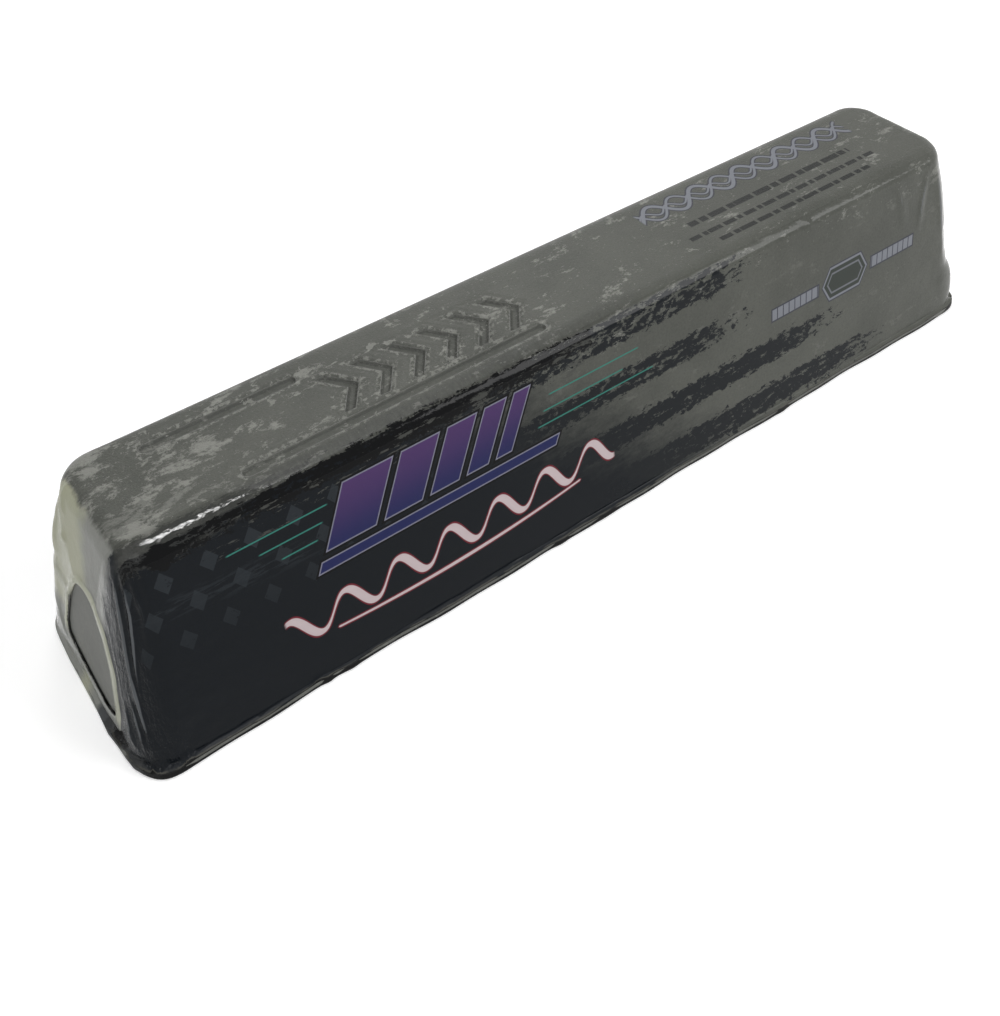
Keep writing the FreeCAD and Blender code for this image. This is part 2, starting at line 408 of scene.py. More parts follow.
# %% Folds and puckers
NEAR_FOLDS = (
    (((-116.4, -12.2, 46.4), (-118.4, -14.2, 39.5), (-120.2, -16.0, 32.1), (-122.1, -18.0, 24.4),
      (-123.9, -20.5, 15.8)), 0.5, 0.6),
    (((-115.9, -13.6, 46.0), (-116.8, -15.2, 42.0), (-117.8, -16.6, 37.0), (-119.4, -17.9, 31.0),
      (-121.2, -19.2, 25.0), (-122.9, -20.8, 18.0)), 0.42, 0.55),
    (((-115.0, -15.3, 45.6), (-115.6, -16.8, 41.5), (-116.0, -18.4, 37.0), (-117.6, -20.0, 31.0),
      (-120.0, -21.4, 24.0)), 0.55, 0.45),
    (((-113.2, -16.6, 45.0), (-114.0, -18.2, 39.0), (-115.6, -20.4, 32.0)), 0.8, 0.3),
    (((-122.4, -18.7, 22.4), (-123.9, -21.3, 14.3), (-124.9, -23.6, 8.2)), 0.5, 0.5),
    (((-125.6, -17.0, 15.4), (-126.8, -19.6, 8.9), (-126.7, -21.8, 5.8)), 0.5, 0.45),
    (((-124.2, -19.0, 16.6), (-125.5, -21.2, 11.2), (-125.9, -23.2, 6.6)), 0.45, 0.5),
    (((-121.6, -12.2, 29.2), (-123.0, -14.6, 23.0), (-124.6, -16.2, 16.4), (-126.0, -16.8, 11.4)),
     0.6, 0.4),
    (((-119.4, -8.4, 38.4), (-121.2, -11.4, 31.6), (-122.8, -13.2, 24.8)), 0.9, 0.3),
    (((-115.4, 9.4, 49.4), (-116.8, 9.0, 47.2), (-118.3, 8.6, 43.0)), 0.6, 0.7),
    (((-116.8, 12.6, 44.8), (-119.6, 14.2, 37.0), (-122.0, 15.4, 28.0)), 0.9, 0.7),
    (((-119.9, 9.6, 38.4), (-120.6, 10.6, 35.2)), 0.9, 0.5),
    (((-124.9, 17.6, 15.0), (-126.6, 15.2, 9.6), (-128.0, 12.6, 5.0)), 0.7, 0.6),
)
FAR_FOLDS = (
    (((96.3, -17.2, 46.0), (98.8, -18.6, 40.0), (100.4, -20.2, 33.0)), 0.9, 0.3),
    (((108.2, -17.2, 46.4), (107.0, -18.9, 38.6), (106.0, -20.6, 31.0)), 0.8, 0.35),
    (((111.4, -16.9, 46.4), (114.6, -19.6, 36.0), (117.8, -22.4, 24.0), (118.9, -23.6, 17.0)),
     1.0, 0.45),
    (((60.6, -14.6, 49.6), (62.4, -16.3, 47.8), (64.6, -17.6, 45.0)), 0.45, 0.4),
    (((114.4, -14.6, 44.0), (118.4, -17.6, 30.0), (121.4, -20.2, 18.0)), 1.3, 0.6),
    (((119.2, -10.2, 38.0), (122.6, -13.6, 24.0), (125.6, -16.4, 12.0)), 1.2, 0.5),
    (((117.0, 12.4, 42.0), (121.0, 15.6, 28.0), (125.0, 18.6, 13.0)), 1.1, 0.6),
    (((119.6, 7.0, 39.0), (122.2, 10.6, 29.0)), 1.0, 0.4),
)
BACK_FOLDS = (
    (((-103.0, 17.6, 43.4), (-107.6, 19.8, 34.0), (-112.4, 21.8, 25.0)), 0.9, 0.3),
    (((-112.0, 18.0, 42.0), (-115.6, 20.7, 30.0), (-118.8, 23.0, 20.0)), 0.8, 0.4),
    (((-121.0, 23.2, 20.0), (-122.6, 24.8, 13.0), (-124.6, 25.8, 7.0)), 0.9, 0.4),
    (((97.0, 17.6, 43.4), (101.4, 19.6, 35.0), (104.6, 21.4, 27.0)), 1.0, 0.3),
    (((111.0, 18.0, 42.0), (114.8, 20.9, 29.0), (117.6, 23.2, 19.0)), 0.8, 0.4),
    (((119.4, 22.0, 24.0), (121.6, 24.4, 14.0), (123.4, 25.8, 7.5)), 1.0, 0.45),
)
FLARES = (
    (((-119.0, 13.6, 40.0), (-122.4, 16.6, 28.0), (-125.3, 18.3, 17.0), (-126.8, 18.8, 9.0)), 2.8, 0.8),
    (((123.4, -21.4, 15.0), (127.0, -23.8, 3.0)), 4.2, 1.3),
    (((112.4, -16.2, 46.0), (119.8, -20.8, 25.0)), 3.2, 0.6),
    (((-126.0, -20.0, 10.0), (-127.6, -22.0, 3.0)), 3.5, 0.7),
)


def stroke(points, corners, width, height):
    """A soft ridge along a line of corners, fading out towards its ends."""
    corners = np.array(corners)
    lengths = np.linalg.norm(np.diff(corners, axis=0), axis=-1)
    starts = np.concatenate([[0.0], np.cumsum(lengths)])
    nearest = np.full(points.shape[:-1], 1e9)
    place = np.zeros(points.shape[:-1])
    for start, end, length, before in zip(corners[:-1], corners[1:], lengths, starts):
        share = np.clip(((points - start) @ (end - start)) / length**2, 0, 1)
        gap = np.linalg.norm(points - start - share[..., None] * (end - start), axis=-1)
        place = np.where(gap < nearest, before + share * length, place)
        nearest = np.minimum(gap, nearest)
    fade = np.sin(math.pi * np.clip(place / starts[-1], 0.02, 0.98)) ** 0.6
    return height * fade * np.exp(-((nearest / width) ** 2))


ridge_net = np.zeros((ROWS, COLUMNS))
for corners, width, height in NEAR_FOLDS + FAR_FOLDS + BACK_FOLDS:
    ridge_net = ridge_net + stroke(outer_net, corners, width, height)
fold_net = ridge_net.copy()
for corners, width, height in FLARES:
    fold_net = fold_net + stroke(outer_net, corners, width, height)
print("highest fold in mm", round(fold_net.max(), 2))

# %% [markdown]
# A printed sleeve is a flat web that was rolled into a tube and welded to itself. The weld runs
# the whole length of the bar on the side that nobody looks at, as a band of double film.

# %% The lap weld down the back
SEAM_LOW = 104.0
SEAM_HIGH = 109.5
SEAM_HEIGHT = 0.16
weld = smooth_step(columns_round[:-1], SEAM_LOW, SEAM_LOW + 1.6)
weld = weld * (1 - smooth_step(columns_round[:-1], SEAM_HIGH - 0.8, SEAM_HIGH + 0.8))
seam_net = np.repeat(SEAM_HEIGHT * weld[None, :], ROWS, axis=0)
print("weld in mm", round(SEAM_HIGH - SEAM_LOW, 1), "wide")

# %% [markdown]
# The film sinks a little into what the mould left in the narrow face: two long grooves and a row
# of chevrons. The outline of each is the CAD source's, and the film's dip has softer walls than
# the cast groove has, because film under tension bridges a sharp edge.

# %% Dips over the cast relief
NEAR_END = -TOP_LENGTH / 2
BACK_GROOVE = (NEAR_END + 15.5, 35.0, TOP_WIDTH / 2 - 7.5)
FRONT_GROOVE = (NEAR_END + 28.5, 74.0, 6.5 - TOP_WIDTH / 2)
GROOVE_WIDTH = 2.4
CHEVRONS = [NEAR_END + 54.5 + 8.4 * step for step in range(6)]
CHEVRON_LEAN = 4.6
CHEVRON_STROKE = 2.6
CHEVRON_CLEARANCE = 2.9
DIP_DEPTH = 0.75
DIP_SOFTNESS = 0.38
BROW_HEIGHT = 0.12


def groove_gap(points, groove):
    """How far outside a groove's outline each point lies; below zero inside it."""
    start, length, y = groove
    x = np.clip(points[..., 0], start + GROOVE_WIDTH / 2, start + length - GROOVE_WIDTH / 2)
    return np.hypot(points[..., 0] - x, points[..., 1] - y) - GROOVE_WIDTH / 2


def chevron_gap(points, x):
    """The same for one chevron."""
    middle = (BACK_GROOVE[2] + FRONT_GROOVE[2]) / 2
    span = (BACK_GROOVE[2] - FRONT_GROOVE[2]) / 2 - CHEVRON_CLEARANCE
    off = abs(points[..., 1] - middle)
    centre = x + CHEVRON_LEAN * (1 - off / span)
    slant = span / math.hypot(span, CHEVRON_LEAN)
    return np.maximum((abs(points[..., 0] - centre) - CHEVRON_STROKE / 2) * slant, off - span)


def relief_gap(points):
    """How far outside the whole relief each point lies."""
    gaps = [groove_gap(points, BACK_GROOVE), groove_gap(points, FRONT_GROOVE)]
    gaps += [chevron_gap(points, x) for x in CHEVRONS]
    return np.min(gaps, axis=0)


def dip(points, reach=0.0):
    """The film's dip at each point, in millimetres, with a slight brow round each outline."""
    on_top = smooth_step(points[..., 2], BAR_TOP - 0.6, BAR_TOP - 0.1)
    gap = relief_gap(points) - reach
    sunk = 1 - smooth_step(gap, -DIP_SOFTNESS, DIP_SOFTNESS)
    brow = BROW_HEIGHT * np.exp(-(((gap - 0.8) / 0.5) ** 2))
    return (DIP_DEPTH * sunk - brow) * on_top


dip_net = dip(outer_net)
inner_dip = np.maximum(dip(inner_net, INNER_DIP_REACH), 0)
inner_net = inner_net - np.array((0.0, 0.0, 1.0)) * inner_dip[..., None]
print("deepest dip in mm", round(dip_net.max(), 2))

# %% [markdown]
# The window's edge is rolled back by the heat into a flat bead. Its section is half an ellipse
# over the first rows of the net, wider at the front than at the back. Under the bead's inner side
# the edge turns down onto the bar.

# %% The rolled edge of the windows
RIM_WIDTH = 2.7
RIM_HEIGHT = 0.5


def rim_rise(edge_distance, widen):
    """Height of the rolled edge at a distance from the window."""
    middle = RIM_WIDTH * widen / 2
    return RIM_HEIGHT * np.sqrt(np.clip(1 - ((edge_distance - middle) / middle) ** 2, 0, 1))


front_side = smooth_step(-columns_y, -6.0, 8.0)
widen = 0.75 + 0.5 * front_side + 0.12 * np.sin(columns_round[:-1] * 0.35)
rim_net = np.zeros((ROWS, COLUMNS))
near_rows, far_rows = len(near_face), len(far_face)
near_gap = np.linalg.norm(sharp_net[:near_rows] - sharp_net[0], axis=-1)
far_gap = np.linalg.norm(sharp_net[-far_rows:] - sharp_net[-1], axis=-1)
rim_net[:near_rows] = rim_rise(near_gap, widen)
rim_net[-far_rows:] = rim_rise(far_gap, widen)
print("rolled edge in mm", round(rim_net.max(), 2))

# %% [markdown]
# The net becomes a mesh with three attributes that the next step reads: lift is how far the film
# stands off at folds, dips and the rolled edge; away is the direction straight off the bar; and
# free says where the film isn't held tight and may ripple.

# %% Make the film's mesh
def grid_faces(rows, columns, first, flip):
    """Four-sided faces of a net that closes on itself round the bar."""
    row, column = np.meshgrid(np.arange(rows - 1), np.arange(columns), indexing="ij")
    after = (column + 1) % columns
    loop = [row * columns + column, (row + 1) * columns + column]
    loop += [(row + 1) * columns + after, row * columns + after]
    faces = np.stack(loop, axis=-1).reshape(-1, 4) + first
    return faces[:, ::-1] if flip else faces


def rim_faces(outer_row, inner_row, flip):
    """Five-sided faces that close the film between its skins at a window."""
    faces = []
    half = COLUMNS // 2
    for step in range(half):
        after = (step + 1) % half
        face = [outer_row * COLUMNS + 2 * step, outer_row * COLUMNS + 2 * step + 1]
        face.append(outer_row * COLUMNS + (2 * step + 2) % COLUMNS)
        face.append(ROWS * COLUMNS + inner_row * half + after)
        face.append(ROWS * COLUMNS + inner_row * half + step)
        faces.append(face[::-1] if flip else face)
    return faces


points = np.concatenate([outer_net.reshape(-1, 3), inner_net.reshape(-1, 3)]) * MM
inner_rows = len(inner_net)
faces = grid_faces(ROWS, COLUMNS, 0, True).tolist()
faces += grid_faces(inner_rows, COLUMNS // 2, ROWS * COLUMNS, False).tolist()
faces += rim_faces(0, 0, False) + rim_faces(ROWS - 1, inner_rows - 1, True)
film_mesh = bpy.data.meshes.new("shrink_film")
film_mesh.from_pydata(points.tolist(), [], faces)

inner_count = inner_net[..., 0].size
tight = np.maximum(smooth_step(dip_net, 0.02, 0.2), rim_net / RIM_HEIGHT)
by_the_ends = smooth_step(abs(outer_net[..., 0]), 90.0, 122.0)
free_net = np.clip(1 - tight, 0, 1) * smooth_step(outer_net[..., 2], 2.0, 3.5) * (0.15 + 0.85 * by_the_ends)
lift_net = (fold_net + rim_net + seam_net - dip_net) * MM
crease_net = outer_net[..., 2] - crease_height(outline_turn(outer_net))
relief_net = np.where(outer_net[..., 2] > BAR_TOP - 0.5, np.clip(relief_gap(outer_net), -4, 4), 4.0)
rise_net = outer_net[..., 2] - BAR_FLOOR
window_net = np.full((ROWS, COLUMNS), 9.0)
window_net[:near_rows] = np.minimum(near_gap, 9.0)
near_end_net = (-outer_net[..., 0] - BASE_LENGTH / 2) * math.cos(END_DRAFT) + rise_net * END_LEAN
far_end_net = (outer_net[..., 0] - BASE_LENGTH / 2) * math.cos(END_DRAFT) + rise_net * END_LEAN
for name, values in (
    ("lift", lift_net), ("free", free_net), ("rolled", rim_net / RIM_HEIGHT),
    ("relief", relief_net), ("over_crease", crease_net), ("near_end", near_end_net),
    ("far_end", far_end_net),
    ("folds", ridge_net), ("from_window", window_net),
):
    layer = film_mesh.attributes.new(name, "FLOAT", "POINT")
    inner_values = values[::2, ::2].ravel() * (name not in ("lift", "free"))
    layer.data.foreach_set("value", np.concatenate([values.ravel(), inner_values]).astype(np.float32))
layer = film_mesh.attributes.new("away", "FLOAT_VECTOR", "POINT")
away = np.concatenate([away_net.reshape(-1, 3), np.zeros((inner_count, 3))])
layer.data.foreach_set("vector", away.astype(np.float32).ravel())

# %% [markdown]
# The print coordinates go into a UV map, which keeps a value for each corner of each face. That
# matters at the join, where one face runs from the last column back to the first: there the way
# round has to go on counting and not fall back to zero.

# %% Give the film its print coordinates
point_u = np.concatenate([print_along.ravel(), print_along[::2, ::2].ravel()])
point_v = np.concatenate([
    np.tile(columns_round[:-1], ROWS),
    np.tile(columns_round[:-1][::2], inner_rows),
])
corner_point = np.zeros(len(film_mesh.loops), dtype=np.int32)
film_mesh.loops.foreach_get("vertex_index", corner_point)
corner_u, corner_v = point_u[corner_point], point_v[corner_point]
loop_starts = np.zeros(len(film_mesh.polygons), dtype=np.int32)
film_mesh.polygons.foreach_get("loop_start", loop_starts)
face_of_corner = np.repeat(np.arange(len(loop_starts)), np.diff(loop_starts, append=len(corner_v)))
face_high = np.maximum.reduceat(corner_v, loop_starts)[face_of_corner]
joins = face_high - corner_v > columns_round[-1] / 2
corner_v = np.where(joins, corner_v + columns_round[-1], corner_v)
sleeve_map = film_mesh.uv_layers.new(name="sleeve")
sleeve_map.data.foreach_set("uv", np.stack([corner_u, corner_v], axis=-1).astype(np.float32).ravel())
film_mesh.update()
print("film faces", len(film_mesh.polygons), "join corners", int(joins.sum()))

# %% [markdown]
# Geometry Nodes do the last shaping. The tree reads the three attributes, adds fine ripples from
# noise where the film is free, and moves each point straight off the bar. Its sizes are named
# inputs, so the film can be made tighter or looser without touching the net.

# %% A small helper for building node trees
def add_node(tree, kind, inputs=None, **settings):
    """Adds a node, sets it up, and links or sets its inputs."""
    made = tree.nodes.new(kind)
    for name, value in settings.items():
        setattr(made, name, value)
    for key, value in (inputs or {}).items():
        if isinstance(value, bpy.types.NodeSocket):
            tree.links.new(value, made.inputs[key])
        else:
            made.inputs[key].default_value = value
    return made


# %% The tree that shapes the film
def film_tree():
    """Set Position by folds and ripples, with named sizes."""
    tree = bpy.data.node_groups.new("film_cling", "GeometryNodeTree")
    face = tree.interface
    face.new_socket("Geometry", in_out="OUTPUT", socket_type="NodeSocketGeometry")
    face.new_socket("Geometry", in_out="INPUT", socket_type="NodeSocketGeometry")
    for name in ("Fold Size", "Ripple Height", "Ripple Length", "Pucker Height", "Pucker Length"):
        face.new_socket(name, in_out="INPUT", socket_type="NodeSocketFloat")
    face.new_socket("Material", in_out="INPUT", socket_type="NodeSocketMaterial")
    given = add_node(tree, "NodeGroupInput").outputs

    def read(name, kind):
        node = add_node(tree, "GeometryNodeInputNamedAttribute", {"Name": name}, data_type=kind)
        return node.outputs["Attribute"]

    def maths(operation, first, second):
        return add_node(tree, "ShaderNodeMath", {0: first, 1: second}, operation=operation).outputs[0]

    place = add_node(tree, "GeometryNodeInputPosition").outputs[0]
    total = maths("MULTIPLY", read("lift", "FLOAT"), given["Fold Size"])
    for height, length, stretch in (
        ("Ripple Height", "Ripple Length", (0.35, 1.0, 1.0)),
        ("Pucker Height", "Pucker Length", (1.0, 1.0, 0.5)),
    ):
        rolled = add_node(tree, "ShaderNodeVectorMath", {0: place, 1: stretch}, operation="MULTIPLY")
        scale = maths("DIVIDE", 1.0, given[length])
        noise = add_node(
            tree, "ShaderNodeTexNoise",
            {"Vector": rolled.outputs[0], "Scale": scale, "Detail": 2.0},
            noise_dimensions="3D",
        )
        wave = maths("MULTIPLY", maths("MAXIMUM", maths("SUBTRACT", noise.outputs[0], 0.45), 0.0), given[height])
        total = maths("ADD", total, maths("MULTIPLY", wave, read("free", "FLOAT")))
    move = add_node(
        tree, "ShaderNodeVectorMath", {0: read("away", "FLOAT_VECTOR"), "Scale": total}, operation="SCALE"
    )
    shaped = add_node(
        tree, "GeometryNodeSetPosition", {"Geometry": given["Geometry"], "Offset": move.outputs[0]}
    )
    real = add_node(tree, "GeometryNodeRealizeInstances", {"Geometry": shaped.outputs[0]})
    dressed = add_node(
        tree, "GeometryNodeSetMaterial", {"Geometry": real.outputs[0], "Material": given["Material"]}
    )
    add_node(tree, "NodeGroupOutput", {"Geometry": dressed.outputs[0]})
    return tree


def grow_mesh(name, mesh, tree, sizes):
    """Runs a tree on a mesh and keeps the result as a plain mesh object."""
    rough = bpy.data.objects.new(name + "_rough", mesh)
    bpy.context.scene.collection.objects.link(rough)
    modifier = rough.modifiers.new("shape", "NODES")
    modifier.node_group = tree
    for item in tree.interface.items_tree:
        if item.in_out == "INPUT" and item.name in sizes:
            modifier[item.identifier] = sizes[item.name]
    depsgraph = bpy.context.evaluated_depsgraph_get()
    made = bpy.data.meshes.new_from_object(rough.evaluated_get(depsgraph), depsgraph=depsgraph)
    bpy.data.objects.remove(rough)
    made.name = name
    finished = bpy.data.objects.new(name, made)
    bpy.context.scene.collection.objects.link(finished)
    return finished


film_material = bpy.data.materials.new("printed_film")
film = grow_mesh("film_wrap", film_mesh, film_tree(), {
    "Fold Size": 1.0,
    "Ripple Height": 0.5 * MM,
    "Ripple Length": 9.0 * MM,
    "Pucker Height": 0.25 * MM,
    "Pucker Length": 2.6 * MM,
    "Material": film_material,
})
film.data.shade_smooth()
for name in ("lift", "free", "away"):
    film.data.attributes.remove(film.data.attributes[name])
print("film", len(film.data.polygons), "faces, size in mm", [round(s / MM, 1) for s in film.dimensions])

# %% [markdown]
# The materials are written as sums. One small class wraps a node's socket, so that adding two of
# them adds the node that does it, and one method makes any other node. All sizes in the materials
# are millimetres too: the object's coordinates are scaled up by a thousand first.

# %% Sockets that do maths
class Shade:
    """A node socket that Python's operators can do maths on."""

    tree = None

    def __init__(self, socket):
        self.socket = socket

    @classmethod
    def node(cls, kind, inputs=None, output=0, stops=None, **settings):
        """Any node, by its type, settings and the values or links of its sockets."""
        made = cls.tree.nodes.new(kind)
        for name, value in settings.items():
            setattr(made, name, value)
        if stops:
            ramp = made.color_ramp
            while len(ramp.elements) < len(stops):
                ramp.elements.new(1.0)
            for element, (place, colour) in zip(ramp.elements, stops):
                element.position = place
                element.color = (*colour, 1.0)
        for key, value in (inputs or {}).items():
            if isinstance(value, Shade):
                cls.tree.links.new(value.socket, made.inputs[key])
            elif value is not None:
                made.inputs[key].default_value = value
        return cls(made.outputs[output])

    def maths(self, operation, other=0.0, flip=False):
        pair = {0: other, 1: self} if flip else {0: self, 1: other}
        return Shade.node("ShaderNodeMath", pair, operation=operation)

    def __add__(self, other):
        return self.maths("ADD", other)

    def __radd__(self, other):
        return self.maths("ADD", other, flip=True)

    def __sub__(self, other):
        return self.maths("SUBTRACT", other)

    def __rsub__(self, other):
        return self.maths("SUBTRACT", other, flip=True)

    def __mul__(self, other):
        return self.maths("MULTIPLY", other)

    def __rmul__(self, other):
        return self.maths("MULTIPLY", other, flip=True)

    def __truediv__(self, other):
        return self.maths("DIVIDE", other)

    def __abs__(self):
        return self.maths("ABSOLUTE")

    def lowest(self, other):
        return self.maths("MINIMUM", other)

    def highest(self, other):
        return self.maths("MAXIMUM", other)


# %% Helpers for masks
def rise(value, low, high):
    """0 below low and 1 above high; low above high turns it round."""
    inputs = {"Value": value, "From Min": low, "From Max": high}
    if low > high:
        inputs = {"Value": value, "From Min": high, "From Max": low, "To Min": 1.0, "To Max": 0.0}
    return Shade.node("ShaderNodeMapRange", inputs, interpolation_type="SMOOTHSTEP")


def between(value, low, high, soft):
    """1 between two values, with soft ends."""
    return rise(value, low - soft, low + soft) * rise(value, high + soft, high - soft)


def mixed(factor, first, second):
    """A colour between two colours."""
    made = {0: factor, 6: (*first, 1.0) if isinstance(first, tuple) else first}
    made[7] = (*second, 1.0) if isinstance(second, tuple) else second
    return Shade.node("ShaderNodeMix", made, output=2, data_type="RGBA")


def spread(vector, factors):
    """A vector with its three parts multiplied."""
    return Shade.node("ShaderNodeVectorMath", {0: vector, 1: factors}, operation="MULTIPLY")


def noise(vector, size, detail=3.0, rough=0.55, warp=0.0):
    """Noise whose features are about size millimetres across."""
    inputs = {"Vector": vector, "Scale": 1.0 / size, "Detail": detail, "Roughness": rough}
    inputs["Distortion"] = warp
    return Shade.node("ShaderNodeTexNoise", inputs, noise_dimensions="3D")


def new_tree(material):
    """Empties a material and returns its output node."""
    material.use_nodes = True
    Shade.tree = material.node_tree
    material.node_tree.nodes.clear()
    return material.node_tree.nodes.new("ShaderNodeOutputMaterial")


def object_place():
    """The object's own coordinates in millimetres."""
    place = Shade.node("ShaderNodeTexCoord", output="Object")
    return spread(place, (1000.0, 1000.0, 1000.0))


def axis(vector, name):
    """One part of a vector."""
    return Shade.node("ShaderNodeSeparateXYZ", {0: vector}, output=name)


# %% [markdown]
# The compound itself is dull grit in grease and wax. Its grey is close to even, a little green,
# with soft clouds a few centimetres across and fine grain. Where it rubbed dry it is paler.

# %% The look of the compound
COMPOUND_GREY = (0.099, 0.102, 0.089)
COMPOUND_DARK = (0.068, 0.071, 0.062)
COMPOUND_DRY = (0.27, 0.272, 0.247)


def compound_colour(place):
    """Cloudy grey with fine grain."""
    clouds = noise(place, 24.0, detail=4.0)
    grain = noise(place, 0.55, detail=3.0, rough=0.75)
    dark = rise(clouds, 0.62, 0.36) * 0.5 + rise(grain, 0.56, 0.36) * 0.4
    return mixed(dark, COMPOUND_GREY, COMPOUND_DARK)


# %% [markdown]
# The bare bar shows only through the windows. It gets the compound's colour, scraped a little
# paler in long scratches, and a bump that is rough at two sizes.

# %% Dress the bare bar
def dress_compound(material):
    output = new_tree(material)
    place = object_place()
    colour = compound_colour(place)
    scraped = rise(noise(spread(place, (1.0, 0.9, 0.35)), 1.6, detail=5.0, rough=0.65), 0.56, 0.66)
    colour = mixed(scraped * 0.35, colour, COMPOUND_DRY)
    bumps = noise(place, 0.5, detail=3.0, rough=0.7) + noise(place, 3.5, detail=3.0) * 1.5
    normal = Shade.node("ShaderNodeBump", {"Height": bumps, "Distance": 0.0003, "Strength": 0.35})
    surface = Shade.node("ShaderNodeBsdfPrincipled", {
        "Base Color": colour,
        "Roughness": 0.55 + scraped * 0.2,
        "Normal": normal,
    })
    Shade.tree.links.new(surface.socket, output.inputs["Surface"])


compound_material = bpy.data.materials.new("cutting_compound")
dress_compound(compound_material)
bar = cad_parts["compound_bar"]
bar.data.materials.clear()
bar.data.materials.append(compound_material)
print("bar dressed with", bar.data.materials[0].name)

# %% [markdown]
# The film's material is built in layers, from what lies under the film to what is printed on it.
# First comes the grey of the bar as it shows through clear film, with the paler patches where
# film and compound have come apart and a little air lies between them.

# %% Under the clear film
def read(name):
    """One of the film's own attributes."""
    return Shade.node("ShaderNodeAttribute", output="Fac", attribute_name=name)


def clear_film_colour(place):
    """The compound as it shows through clear film, with its dry patches and specks."""
    colour = compound_colour(place)
    x, z = axis(place, "X"), axis(place, "Z")
    near = rise(x, -66.0, -116.0)
    upper = rise(z, 40.0, 48.0)
    torn = noise(spread(place, (0.6, 1.0, 1.0)), 5.2, detail=8.0, rough=0.78, warp=0.25)
    smear = noise(spread(place, (0.2, 1.0, 1.0)), 1.3, detail=5.0, rough=0.74)
    crumbs = noise(place, 1.1, detail=5.0, rough=0.8) - 0.5
    dry = torn + smear * 0.26 + crumbs * 0.14 + near * upper * 0.095 + 0.02
    patches = rise(dry, 0.738, 0.743) * 0.4 + rise(dry, 0.775, 0.781) * 0.3
    colour = mixed(patches * (0.2 + upper * 0.85), colour, COMPOUND_DRY)
    shade = noise(spread(place, (0.35, 1.0, 1.0)), 9.0, detail=5.0, rough=0.7)
    colour = mixed(rise(shade, 0.45, 0.42) * near * 0.5, colour, COMPOUND_DARK)
    speck = noise(place, 0.7, detail=5.0, rough=0.75)
    colour = mixed(rise(speck, 0.635, 0.66) * (0.15 + upper * 0.45), colour, COMPOUND_DRY)
    return mixed(rise(speck, 0.38, 0.35) * 0.5, colour, COMPOUND_DARK)


def relief_colour(colour, place):
    """Painted shade in the cast marks, dry compound and a painted highlight on their rims, dusty blotches."""
    gap = read("relief")
    chips = noise(place, 1.4, detail=5.0, rough=0.7)
    # Painted shade on the walls of the cast marks
    wall_shade = between(gap + (chips - 0.5) * 0.8, -0.6, 0.12, 0.16)
    colour = mixed(wall_shade * 0.5, colour, (0.030, 0.031, 0.028))
    # Painted shade on the floors of the grooves
    floor = rise(gap, -0.5, -0.9) * rise(chips, 0.42, 0.52)
    colour = mixed(floor * 0.35, colour, COMPOUND_DARK)
    # Dry compound along the rims, with a painted highlight
    rim = between(gap + (chips - 0.5) * 2.4, 0.3, 1.2, 0.12) * rise(chips, 0.50, 0.55)
    colour = mixed(rim * 0.55, colour, COMPOUND_DRY)
    blots = noise(place, 4.2, detail=5.0, rough=0.66) + (chips - 0.5) * 0.25
    return mixed(rise(blots, 0.612, 0.62) * rise(gap, 3.9, 3.0) * 0.6, colour, COMPOUND_DRY)


# %% [markdown]
# The sleeve's ground is a dark, nearly black wash that covers the near third of the front face
# and breaks up into brushed bands towards the far end. A brushed band is a stretch of V whose
# edge and end are torn by noise that is drawn out along the stroke.

# %% Brushed bands
INK = (0.0042, 0.0062, 0.0088)
INK_BLACK = (0.0012, 0.0014, 0.0018)
# Each band: lowest and highest V, the U at which it gives out, and how worn it is
BANDS = (
    (43.4, 51.6, 38.0, 0.135), (30.2, 36.6, 31.0, 0.095),
    (16.9, 23.0, 62.0, 0.055), (2.8, 9.9, 81.0, 0.07),
)
PRINT_EDGE = 51.3
# Grey of the painted reflection along the near top edge
REFLECTED_GREY = (0.034, 0.035, 0.033)
FLECK_GREY = (0.064, 0.066, 0.060)


def drawn_out(u, v, stretch):
    """U and V as a place for noise, with features drawn out along U."""
    return Shade.node("ShaderNodeCombineXYZ", {"X": u * stretch, "Y": v})


def torn_patch(inside, worn, holes):
    """A torn patch, whole inside and flecked at its edge or where worn: ink, and the painted reflection by the top
    edge.
    """
    return rise((inside * 0.12).lowest(0.1) + worn + holes, 0.0, 0.014)


def brushed_ground(u, v):
    """How much ink lies on each point: the wash, its smoky end and its bands."""
    streaks = noise(drawn_out(u, v, 0.2), 1.3, detail=6.0, rough=0.72, warp=0.3) - 0.5
    tears = noise(drawn_out(u, v, 0.65), 4.5, detail=7.0, rough=0.72) - 0.5
    holes = noise(drawn_out(u, v, 0.6), 1.7, detail=6.0, rough=0.8, warp=0.4) - 0.5
    smoke = rise(u + (v - 18.0) * 1.5 + tears * 34.0 + streaks * 22.0, 30.0, -22.0)
    total = smoke.highest(rise(u + streaks * 20.0 + tears * 16.0, -49.0, -52.0))
    for low, high, end, wear in BANDS:
        inside = (v - low).lowest(high - v) + tears * 1.6
        worn = ((end - u) * 0.011).lowest(0.07) - wear
        total = total.highest(torn_patch(inside, worn, holes + streaks * 0.5) * 0.96)
    front = rise(v + holes, PRINT_EDGE + 0.1, PRINT_EDGE - 0.1) * rise(v, -1.0, 0.0)
    return total * front


